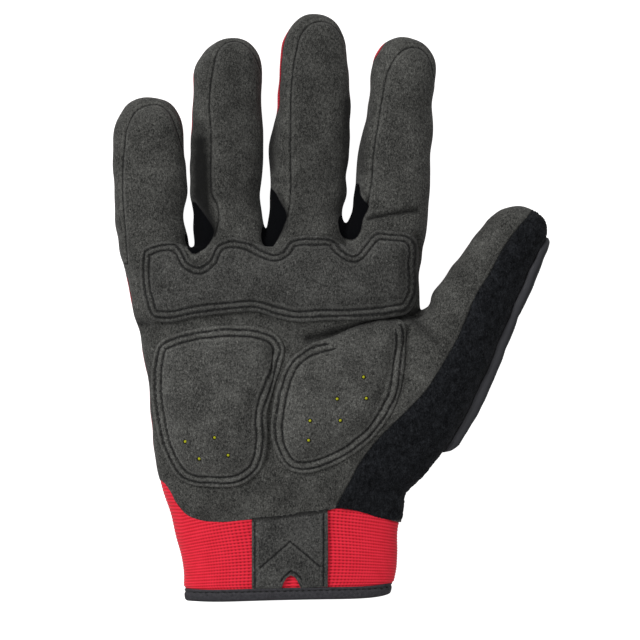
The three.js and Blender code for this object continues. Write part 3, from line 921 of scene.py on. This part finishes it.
def makeTab():
    def place(u, v):
        x = -35 + 37 * u
        y = -118 + 35 * v
        return np.column_stack([x, y, trunkTop(x, y, -0.1)])

    piece = gridPiece("pullTab", 90, 84, place)
    giveMarks(piece)
    drawnOut(piece, -4)
    cutter = outlineCutter(np.array(tab["outline"]))
    cut(piece, cutter, "INTERSECT")
    remove(cutter)
    dropFaces(piece, cutFaces(piece) | (faceNormals(piece)[:, 2] < 0.3))
    points = pointsOf(piece)
    rim = nearestDistance(points, boundaryPoints(piece))
    heights = tab["thick"] - 0.35 * bell(rim, 0.5)
    nearest = np.full(len(points), 9.0)
    for line in tab["lines"]:
        away = lineDistance(points, np.array(line))
        heights -= tab["channel"] * bell(away, tab["channelWidth"])
        nearest = np.minimum(nearest, away)
    heights += 0.1 * waves(points, 8, 12)
    top = np.interp(points[:, 0], *np.array(cuffSeam).T) - points[:, 1]
    heights -= 1.0 * (1 - ease(-0.3, 2.2, top))
    storeValue(piece, "seam", nearest)
    # Painted shade over the tab's top, where it tucks under the palm's edge
    storeValue(piece, "shade", 0.75 * (1 - ease(0.2, 1.8, top)))
    raised(piece, heights, 2.0)
    shadedSmooth(piece)
    return piece


pullTab = makeTab()
report("tab")

# Guards of moulded rubber

guards = {
    "clear": 0.3, "finger": 3.3, "fingerTop": 14, "thumbTop": 21.6, "edge": 1.7, "edgeShare": 0.4,
    "most": 5.0, "grooveDepth": 1.3, "grooveWidth": 1.2, "grooveTop": (9, 14),
}


def stadium(guard, lean=0, place=(0, 0)):
    radius = guard.get("corner", guard["width"] / 2)
    flat = guard["width"] / 2 - radius
    turns = np.linspace(0, math.pi, 16)
    across = radius * np.cos(turns) + flat * np.sign(np.cos(turns).round(6))
    top = np.column_stack([guard["x"] + across, guard["end"] - radius + radius * np.sin(turns)])
    bottom = np.column_stack([guard["x"] - across, guard["start"] + radius - radius * np.sin(turns)])
    outline = np.vstack([top, bottom])
    lean = math.radians(lean)
    spin = np.array([[math.cos(lean), math.sin(lean)], [-math.sin(lean), math.cos(lean)]])
    return outline @ spin + np.array(place)


# A prism across a guard's length, with its upper corners rounded
def profileCutter(guard, along, top):
    radius = guard["round"]
    turns = np.linspace(0, math.pi / 2, 9)
    rise, run = radius * np.sin(turns), radius * np.cos(turns)
    right = np.column_stack([guard["end"] - radius + run, top - radius + rise])
    left = np.column_stack([guard["start"] + radius - rise, top - radius + run])
    piece = outlineCutter(np.vstack([[(guard["start"], -60), (guard["end"], -60)], right, left]), -150, 150)
    length, height, across = pointsOf(piece).T
    placed = (length * along[0] + across * along[1], length * along[1] - across * along[0], height)
    movePoints(piece, np.column_stack(placed))
    return piece


def makeGuard(name, guard, outline, upTo, along, grooves, thick):
    cutters = [outlineCutter(outline, -60, upTo)]
    if "round" in guard:
        cutters.append(profileCutter(guard, along, upTo))
    piece = copyOf(theForm, f"guard_{name}")
    for cutter in cutters:
        cut(piece, cutter, "INTERSECT")
        remove(cutter)
    dropFaces(piece, cutFaces(piece))
    dropCrumbs(piece)
    pushOut(piece, guards["clear"])
    points = pointsOf(piece)
    rim = nearestDistance(points, boundaryPoints(piece))
    share = (points[:, :2] @ np.array(along)) - guard["start"]
    thickness = np.interp(share, *np.array(thick).T) if isinstance(thick, list) else thick
    full = ease(0, guards["edge"], rim) ** 0.6
    heights = thickness * (guards["edgeShare"] + (1 - guards["edgeShare"]) * full)
    low = 1 - ease(*guards["grooveTop"], points[:, 2])
    for number in range(1, grooves + 1):
        away = np.abs(share - (guard["end"] - guard["start"]) * number / (grooves + 1))
        groove = bell(away, guards["grooveWidth"])
        heights -= guards["grooveDepth"] * groove * ease(1.5, 3.5, rim) * low
    storeValue(piece, "rim", rim)
    raised(piece, heights, guards["most"])
    shadedSmooth(piece, 40)
    return piece


guardPieces = {}
for name, finger in fingers.items():
    guard = finger["guard"]
    guardPieces[name] = makeGuard(
        name, guard, stadium(guard), guards["fingerTop"], (0, 1), 4, guards["finger"],
    )
lean = math.radians(thumb["lean"])
thumbAlong = (-math.sin(lean), math.cos(lean))
thumbStart = np.array(thumb["place"]) @ np.array(thumbAlong)
thumbGuard = dict(thumb["guard"])
thumbOutline = stadium(thumbGuard, thumb["lean"], thumb["place"])
thumbThick = [(y - thumbGuard["start"], thick) for y, thick in thumb["guardThick"]]
thumbGuard["start"] += thumbStart
thumbGuard["end"] += thumbStart
guardPieces["thumb"] = makeGuard(
    "thumb", thumbGuard, thumbOutline, guards["thumbTop"], thumbAlong, 8, thumbThick,
)
report("finger and thumb guards")

knuckleGuard = {
    "outline": [
        (-70, 8), (-40, 14), (-10, 15), (20, 10), (26, -8), (12, -34), (-22, -44), (-54, -34), (-72, -10),
    ],
    "edge": 3.5, "lift": 1.8,
}


def makeKnuckleGuard():
    outline = smoothCurve(knuckleGuard["outline"], 1.5, closed=True)
    piece = formRegion("guard_knuckle", outline, top=False, finer=0)
    pushOut(piece, guards["clear"])
    points = pointsOf(piece)
    away = lineDistance(points, outline, closed=True)
    target = knuckleGuard["lift"] * (1 - ease(0, knuckleGuard["edge"], away) ** 0.7)
    storeValue(piece, "rim", away)
    raised(piece, np.clip(points[:, 2] - target, 0.4, 12), 12.0)
    points = pointsOf(piece)
    points[:, 2] = np.maximum(points[:, 2], 0)
    movePoints(piece, points)
    shadedSmooth(piece, 40)
    return piece


guardPieces["knuckle"] = makeKnuckleGuard()
report("knuckle guard")

# Thread and perforations

thread = {"length": 1.65, "pitch": 2.5, "thick": 0.58, "sink": 0.02}


def surfaceOf(piece):
    corners = [vertex.co.copy() for vertex in piece.data.vertices]
    return BVHTree.FromPolygons(corners, [face.vertices[:] for face in piece.data.polygons])


# Place and normal where a surface is met from above
def dropTo(surface, x, y):
    return surface.ray_cast(Vector((x * mm, y * mm, 0.08)), Vector((0, 0, -1)))[:2]


def stitchTemplate():
    pick()
    bpy.ops.mesh.primitive_uv_sphere_add(segments=6, ring_count=6, radius=0.5)
    piece = named("oneStitch")
    points = pointsOf(piece) * mm
    faces = [face.vertices[:] for face in piece.data.polygons]
    along = np.sign(points[:, 2]) * np.abs(points[:, 2] * 2) ** 0.8 / 2
    placed = np.column_stack([
        along * thread["length"],
        points[:, 1] * thread["thick"] * 1.15,
        points[:, 0] * thread["thick"],
    ])
    remove(piece)
    return placed, faces


def stitchRow(name, lines, under):
    template, faces = stitchTemplate()
    surface = surfaceOf(under)
    allPoints, allFaces = [], []
    for line, closed, pad in lines:
        path = np.asarray(line, dtype=float)
        if closed:
            path = np.vstack([path, path[:1]])
        reach = wayAlong(path)
        count = max(1, round(reach[-1] / thread["pitch"]))
        for middle in (np.arange(count) + 0.5) * reach[-1] / count:
            near = middle + np.array([-0.5, 0, 0.5])
            behind, here, ahead = np.column_stack([np.interp(near, reach, path[:, k]) for k in range(2)])
            place, normal = dropTo(surface, *here)
            if place is None or (pad and plainShare(pad, [here])[0] > 0.3):
                continue
            run = Vector((*(ahead - behind), 0)).normalized()
            normal = normal.normalized()
            run = (run - normal * run.dot(normal)).normalized()
            turn = np.array([run, normal.cross(run), normal])
            start = len(allPoints) * len(template)
            allPoints.append(template @ turn * mm + np.array(place - normal * thread["sink"] * mm))
            allFaces += [[start + corner for corner in face] for face in faces]
    mesh = bpy.data.meshes.new(name)
    mesh.from_pydata(np.vstack(allPoints).tolist(), [], allFaces)
    piece = bpy.data.objects.new(name, mesh)
    bpy.context.scene.collection.objects.link(piece)
    piece.data.polygons.foreach_set("use_smooth", np.ones(len(allFaces), dtype=bool))
    stitches.append(piece)


stitches = []
for name, pad in pads.items():
    outline = smoothCurve(pad["outline"], 1, closed=True)
    rows = [(movedOutline(outline, -pad[line]), True, pad) for line in ("outer", "inner")]
    stitchRow(f"stitches_{name}", rows, padPieces[name])
tabRows = [smoothCurve(line, 1) if len(line) > 3 else np.array(line) for line in tab["lines"]]
stitchRow("stitches_tab", [(row, False, None) for row in tabRows], pullTab)
seamRow = [(x, y + 0.7) for x, y in [(-33, -88.4), (-16.6, -86.2), (-0.4, -84)]]
stitchRow("stitches_cuff", [(np.array(seamRow), False, None)], palm)
tapeRow = [
    (x, cuff["end"] + 3.15 + 0.12 * math.sin(x * 1.1) + cuff["slant"] * x) for x in np.linspace(-58, 25, 60)
]
stitchRow("stitches_tape", [(np.array(tapeRow), False, None)], hemTape)
report("stitches")

# A perforation's rim and the foam in it: radius and how deep each lies
hole = {"rim": 0.75, "rimThick": 0.24, "rimSink": 0.05, "foam": 0.65, "foamSink": 0.15}


def makeHoles():
    rims, cores = [], []
    for name, pad in pads.items():
        surface = surfaceOf(padPieces[name])
        for x, y in pad["holes"]:
            place, normal = dropTo(surface, x, y)
            pick()
            bpy.ops.mesh.primitive_torus_add(
                location=place - normal * hole["rimSink"] * mm, major_segments=14, minor_segments=6,
                major_radius=hole["rim"] * mm, minor_radius=hole["rimThick"] * mm,
            )
            rims.append(bpy.context.object)
            pick()
            bpy.ops.mesh.primitive_uv_sphere_add(
                location=place - normal * hole["foamSink"] * mm, segments=12, ring_count=6,
                radius=hole["foam"] * mm,
            )
            cores.append(bpy.context.object)
    joined = []
    for name, parts in (("holeRims", rims), ("holeFoam", cores)):
        pick(*parts)
        bpy.ops.object.join()
        piece = named(name)
        bpy.ops.object.transform_apply(location=True, rotation=True, scale=True)
        shadedSmooth(piece)
        joined.append(piece)
    return joined


holeRims, holeFoam = makeHoles()
report("perforations")


# Finishes: a socket's value, so that shader maths reads as an expression

class Value:
    def __init__(self, finish, socket):
        self.finish = finish
        self.socket = socket

    def maths(self, operation, first, second=0.0):
        return self.finish.node("ShaderNodeMath", {"operation": operation}, {0: first, 1: second})

    def __add__(self, other):
        return self.maths("ADD", self, other)

    def __radd__(self, other):
        return self.maths("ADD", other, self)

    def __sub__(self, other):
        return self.maths("SUBTRACT", self, other)

    def __rsub__(self, other):
        return self.maths("SUBTRACT", other, self)

    def __mul__(self, other):
        return self.maths("MULTIPLY", self, other)

    def __rmul__(self, other):
        return self.maths("MULTIPLY", other, self)

    def __truediv__(self, other):
        return self.maths("DIVIDE", self, other)

    def __rtruediv__(self, other):
        return self.maths("DIVIDE", other, self)

    def __pow__(self, other):
        return self.maths("POWER", self, other)

    def clipped(self):
        return self.finish.node("ShaderNodeClamp", {}, {0: self, 1: 0.0, 2: 1.0})

    # Ribs between 0 and 1
    def ribs(self, pitch):
        turn = self * (2 * math.pi / (pitch * mm))
        return (self.maths("COSINE", turn) + 1) * 0.5


class Finish:
    def __init__(self, name, specular, sheen=0.0, sheenRoughness=0.5):
        self.material = bpy.data.materials.new(name)
        self.material.use_nodes = True
        self.tree = self.material.node_tree
        self.surface = self.tree.nodes["Principled BSDF"]
        self.surface.inputs["Specular IOR Level"].default_value = specular
        self.surface.inputs["Sheen Weight"].default_value = sheen
        self.surface.inputs["Sheen Roughness"].default_value = sheenRoughness

    def feed(self, socket, value):
        if isinstance(value, Value):
            self.tree.links.new(value.socket, socket)
        else:
            socket.default_value = value

    def node(self, kind, settings=None, sockets=None, output=0):
        made = self.tree.nodes.new(kind)
        for key, value in (settings or {}).items():
            setattr(made, key, value)
        for key, value in (sockets or {}).items():
            self.feed(made.inputs[key], value)
        return Value(self, made.outputs[output])

    def place(self, output="Object"):
        return self.node("ShaderNodeTexCoord", output=output)

    def stretched(self, at, scale):
        return self.node("ShaderNodeVectorMath", {"operation": "MULTIPLY"}, {0: at, 1: scale})

    def parts(self, at):
        split = self.node("ShaderNodeSeparateXYZ", {}, {0: at}).socket.node
        return [Value(self, split.outputs[k]) for k in range(3)]

    def noise(self, at, size, detail=2.0, roughness=0.5, curl=0.0):
        settings = {"Scale": 1 / (size * mm), "Detail": detail, "Roughness": roughness, "Distortion": curl}
        return self.node("ShaderNodeTexNoise", {}, {"Vector": at, **settings})

    def attribute(self, name):
        return self.node("ShaderNodeAttribute", {"attribute_name": name}, output="Fac")

    def mix(self, first, second, share):
        return self.node("ShaderNodeMix", {"data_type": "RGBA"}, {0: share, 6: first, 7: second}, output=2)

    # The material with its colour, roughness and relief
    def made(self, colour, roughness, height=None, distance=0.0, strength=0.6):
        self.feed(self.surface.inputs["Base Color"], colour)
        self.feed(self.surface.inputs["Roughness"], roughness)
        if height:
            relief = {"Height": height, "Distance": distance * mm, "Strength": strength}
            self.feed(self.surface.inputs["Normal"], self.node("ShaderNodeBump", {}, relief))
        return self.material


# A colour as seen on a screen, as light
def tone(red, green, blue):
    shares = [value / 255 for value in (red, green, blue)]
    light = [share / 12.92 if share <= 0.04045 else ((share + 0.055) / 1.055) ** 2.4 for share in shares]
    return (*light, 1.0)


# Brushed suede: curled nap and worn clouds; a light line of fuzz with a painted highlight on the raised edge
# beside each seam; dark seam and stitch lines with painted shade in their grooves; painted shade in the
# folds, between the fingers and along pad and tab edges
def suedeFinish(name, dark, light, seamWidth=0.5):
    finish = Finish(name, 0.08, 0.08, 0.6)
    at = finish.place()
    nap = finish.noise(at, 0.72, 3.0, 0.7, 1.2)
    uneven = finish.noise(at, 2.6, 2.0, 0.6)
    fibres = finish.noise(finish.stretched(at, (1.0, 0.4, 1.0)), 0.45, 2.0, 0.6, 0.8)
    clouds = finish.noise(at, 11.0, 3.0, 0.6)
    shade = ((nap - 0.5) * 1.7 + (fibres - 0.5) * 1.1 + (clouds - 0.5) * 0.55 + 0.5).clipped() ** 1.8
    seam = finish.attribute("seam")
    near = seam / seamWidth
    groove = (1 - near * near).clipped()
    beside = (seam - 1.15) / 0.6
    # Light fuzz flecked by the nap, with a painted highlight on the raised edge beside each seam
    ridgeFuzzAndHighlight = (1 - beside * beside).clipped() * (nap * 1.6 - 0.35).clipped()
    worn = finish.mix(dark, light, shade)
    withFuzzAndHighlight = finish.mix(worn, light, ridgeFuzzAndHighlight * 0.35)
    # Dark seam and stitch lines, with painted shade in their grooves
    seamsAndGrooveShade = finish.mix(withFuzzAndHighlight, tone(13, 13, 13), groove * (uneven * 1.3 + 0.1).clipped())
    # Painted shade in the folds, between the fingers, down the fingers' sides and along pad and tab edges
    colour = finish.mix(seamsAndGrooveShade, tone(8, 8, 8), finish.attribute("shade") * 0.95)
    return finish.made(colour, 0.88 + nap * 0.1, nap * 0.6 + fibres * 0.4, 0.25, 0.8)


def terryFinish():
    finish = Finish("terryLoops", 0.04, 0.05)
    at = finish.place()
    loops = finish.noise(at, 1.1, 3.0, 0.7, 1.6)
    streaks = finish.noise(finish.stretched(at, (1.0, 0.35, 1.0)), 0.6, 3.0, 0.7, 1.0)
    tufts = finish.noise(at, 3.5, 2.0, 0.6)
    shade = ((loops - 0.5) * 1.6 + (streaks - 0.5) * 1.6 + (tufts - 0.5) * 0.8 + 0.5).clipped() ** 1.6
    colour = finish.mix(tone(5, 6, 8), tone(52, 54, 58), shade)
    return finish.made(colour, 0.95, loops + streaks * 0.6, 0.5, 0.9)


# Ribs across the cuff, with painted highlights on the rib tops and painted shade in the gaps, over an uneven
# red, and dark dots of painted shade where the gaps of ribs and columns cross, strongest near the tab
def cuffFinish():
    finish = Finish("ribbedKnit", 0.2, 0.15)
    across, along, _ = finish.parts(finish.place("UV"))
    rows, columns = along.ribs(cuff["rib"]), across.ribs(cuff["column"])
    uneven = finish.noise(finish.place(), 4.0, 3.0, 0.6)
    side = (finish.parts(finish.place())[0] + 0.017) / 0.033
    nearTab = (1.35 - side * side).clipped()
    # Painted highlights on the rib tops and painted shade in the gaps, with an uneven red
    knit = (rows**0.7 * 0.8 + columns * 0.15 + (uneven - 0.5) * 0.6 + 0.08).clipped()
    ribs = finish.mix(tone(206, 10, 32), tone(255, 48, 72), knit)
    # Dots of painted shade where the gaps of ribs and columns cross
    gapShade = ((1 - rows) * (1 - columns)) ** 2.2 * (0.12 + nearTab * 0.88)
    colour = finish.mix(ribs, tone(132, 4, 22), gapShade.clipped())
    return finish.made(colour, 0.8, rows * 0.7 + columns * 0.3, 0.16, 0.8)


def backFinish():
    finish = Finish("backKnit", 0.25, 0.15)
    across, along, up = finish.parts(finish.place())
    rows, columns = along.ribs(1.1), (across + up).ribs(0.95)
    uneven = finish.noise(finish.place(), 6.0, 2.0, 0.6)
    seam = finish.attribute("seam") / 0.6
    knit = (rows * 0.6 + columns * 0.4 + (uneven - 0.5) * 0.4).clipped()
    weave = finish.mix(tone(158, 16, 34), tone(226, 46, 66), knit)
    colour = finish.mix(weave, tone(90, 8, 16), (1 - seam).clipped() * 0.7)
    return finish.made(colour, 0.8, rows * 0.6 + columns * 0.4, 0.15, 0.7)


def tapeFinish():
    finish = Finish("bindingTape", 0.3)
    at = finish.place()
    across, along, _ = finish.parts(at)
    weave = (across + along).ribs(0.9)
    grain = finish.noise(at, 0.9, 3.0, 0.7, 0.8)
    shade = (weave * 0.3 + (grain - 0.5) * 2.0 + 0.4).clipped()
    colour = finish.mix(tone(20, 20, 23), tone(72, 71, 76), shade)
    return finish.made(colour, 0.7, weave * 0.5 + grain * 0.5, 0.1)


# Moulded rubber, with a painted highlight along its chamfered upper edge
def rubberFinish():
    finish = Finish("mouldedRubber", 0.4)
    at = finish.place()
    grain = finish.noise(at, 0.5, 3.0, 0.6)
    smudges = finish.noise(at, 12.0, 3.0, 0.6)
    plain = finish.mix(tone(15, 17, 20), tone(32, 34, 39), grain * 0.5 + smudges * 0.5)
    # Painted highlight on the chamfer near the rim
    edge = (1.5 - finish.attribute("rim")).clipped()
    colour = finish.mix(plain, tone(64, 64, 69), edge * 0.75)
    return finish.made(colour, 0.46 + smudges * 0.2, grain, 0.06)


# Two tones mixed by a fine grain, which is the relief as well
def grainFinish(name, surface, grain, dark, light, roughness, distance):
    finish = Finish(name, *surface)
    grain = finish.noise(finish.place(), *grain)
    return finish.made(finish.mix(dark, light, grain), roughness, grain, distance)


def dress(piece, material):
    piece.data.materials.clear()
    piece.data.materials.append(material)
    numberFaces(piece, 0)


palmFinish = suedeFinish("palmSuede", tone(25, 25, 24), tone(118, 118, 114))
bandFinish = suedeFinish("bandSuede", tone(26, 26, 25), tone(118, 118, 114))
padFinish = suedeFinish("padSuede", tone(30, 30, 29), tone(128, 128, 124), 0.6)
knuckleFinish = suedeFinish("knuckleSuede", tone(25, 25, 24), tone(112, 112, 109), 0.6)
tabFinish = suedeFinish("tabSuede", tone(27, 27, 27), tone(116, 116, 113))
stretch = grainFinish(
    "stretchKnit", (0.04, 0.02), (0.6, 3.0, 0.6), tone(2, 2, 4), tone(13, 14, 16), 0.85, 0.15,
)
black = grainFinish(
    "blackThread", (0.3, 0.1), (0.25, 1.0, 0.5), tone(4, 4, 5), tone(16, 16, 17), 0.7, 0.05,
)
holeShade = grainFinish(
    "holeShade", (0.2,), (0.3, 2.0, 0.6), tone(12, 12, 10), tone(30, 30, 26), 0.8, 0.08,
)
foam = grainFinish(
    "yellowFoam", (0.2,), (0.3, 2.0, 0.6), tone(140, 142, 8), tone(206, 206, 44), 0.8, 0.08,
)
lowPads = [piece for name, piece in padPieces.items() if name != "knuckle"]
for material, pieces in (
    (palmFinish, [palm]), (backFinish(), [back]), (terryFinish(), [terry]), (cuffFinish(), [cuffKnit]),
    (tapeFinish(), [hemTape]), (tabFinish, [pullTab]), (holeShade, [holeRims]), (foam, [holeFoam]),
    (bandFinish, bands.values()), (stretch, gussets.values()), (padFinish, lowPads),
    (knuckleFinish, [padPieces["knuckle"]]), (rubberFinish(), guardPieces.values()), (black, stitches),
):
    for piece in pieces:
        dress(piece, material)
report("finishes")


# What each piece rides on and stands for

remove(theForm, armCutter, thumbCutter, backCutter)
standsFor = [
    (palm, "palm_panel", "palm_suede"), (back, "back_panel", "back_knit"), (terry, "thumb_terry", "terry"),
    (cuffKnit, "cuff", "cuff_knit"), (hemTape, "hem_binding", "binding_tape"),
    (pullTab, "cuff_tab", "tab_suede"), (guardPieces["knuckle"], "knuckle_guard", "guard_rubber"),
    (guardPieces["thumb"], "thumb_guard", "guard_rubber"),
]
for name in fingers:
    standsFor.append((bands[name], f"finger_band_{name}", "band_suede"))
    standsFor.append((guardPieces[name], f"finger_guard_{name}", "guard_rubber"))
for number, piece in enumerate(gussets.values(), start=1):
    standsFor.append((piece, f"finger_web_{number}", "web_knit"))
for name, pad in pads.items():
    standsFor.append((padPieces[name], pad["node"], "pad_suede"))
for piece, node, slotName in standsFor:
    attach(piece, "root")
    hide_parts(node)
for piece in [*stitches, holeRims, holeFoam]:
    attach(piece, "root")

# Floor, light and camera

studio = {
    "floor": 6.0, "glow": 1.0, "world": 0.4, "key": 15.0, "keyPlace": (-0.9, 0.8, 1.05), "keySize": 0.7,
    "fill": 3.0, "fillPlace": (0.5, -0.5, 1.6), "fillSize": 1.2,
    "camera": (-0.0044, -0.0048, 1.517), "lens": 201.9,
}
pick()
bpy.ops.mesh.primitive_plane_add(size=studio["floor"], location=(0, 0, -0.0002))
floor = named("floor")
# The paper is lit from behind, as on a light table, but throws no light back on the glove's sides
paper = Finish("floorPaper", 0.0)
plainPaper = Value(paper, paper.surface.outputs[0])
glow = paper.node("ShaderNodeEmission", {}, {"Color": (1, 1, 1, 1), "Strength": studio["glow"]})
litPaper = paper.node("ShaderNodeAddShader", {}, {0: plainPaper, 1: glow})
seen = paper.node("ShaderNodeLightPath", output="Is Camera Ray")
both = paper.node("ShaderNodeMixShader", {}, {0: seen, 1: plainPaper, 2: litPaper})
paper.feed(paper.tree.nodes["Material Output"].inputs["Surface"], both)
floor.data.materials.append(paper.made((0.55, 0.55, 0.55, 1), 0.9))

world = bpy.context.scene.world or bpy.data.worlds.new("studio")
bpy.context.scene.world = world
world.use_nodes = True
sky = world.node_tree.nodes["Background"].inputs
sky["Color"].default_value = (1, 1, 1, 1)
sky["Strength"].default_value = studio["world"]
for name in ("key", "fill"):
    pick()
    bpy.ops.object.light_add(type="AREA", location=studio[f"{name}Place"])
    lamp = bpy.context.object
    lamp.name = name
    lamp.data.energy = studio[name]
    lamp.data.size = studio[f"{name}Size"]
    lamp.rotation_euler = (-Vector(studio[f"{name}Place"])).to_track_quat("-Z", "Y").to_euler()
pick()
bpy.ops.object.camera_add(location=studio["camera"], rotation=(0, 0, 0))
camera = bpy.context.object
camera.data.lens = studio["lens"]
camera.data.sensor_width = 36
camera.data.clip_start = 0.05
bpy.context.scene.camera = camera
bpy.context.scene.view_settings.view_transform = "Standard"
report("studio")
